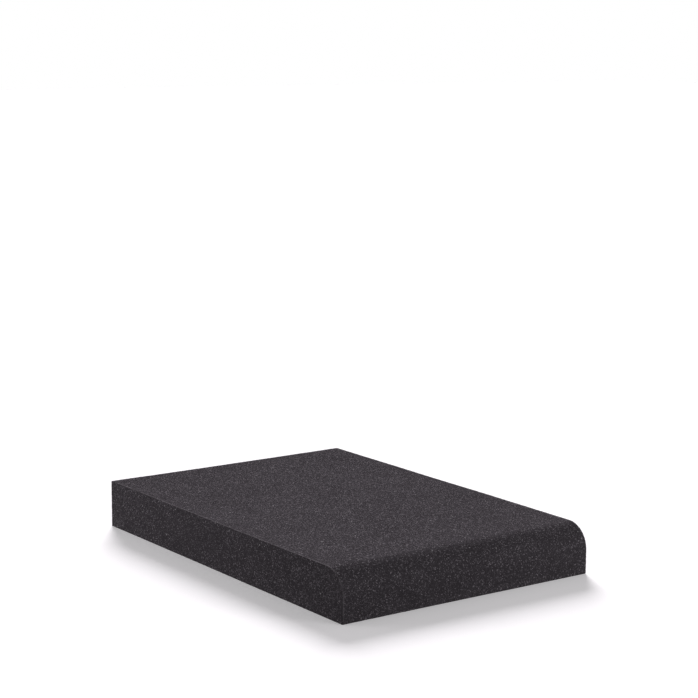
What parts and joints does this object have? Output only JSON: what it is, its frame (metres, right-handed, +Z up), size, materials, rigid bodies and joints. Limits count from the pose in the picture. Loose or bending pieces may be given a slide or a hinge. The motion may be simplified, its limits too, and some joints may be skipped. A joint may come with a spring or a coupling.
{
  "type": "speaker isolation pad",
  "caption": "Flat rectangular block of charcoal open-cell foam with a large round on its upper front edge, for standing a studio monitor speaker on.",
  "frame": {"origin": "middle of the underside, the face that rests on the desk or shelf", "axes": "+Z up; +Y from the rounded front edge towards the back, along the pad's depth; +X across the front, to the right as the pad is seen from its front"},
  "size_m": [0.3, 0.43, 0.05],
  "materials": {
    "foam": "matte"
  },
  "bodies": {
    "root": {"foam_pad": "foam"}
  },
  "joints": []
}
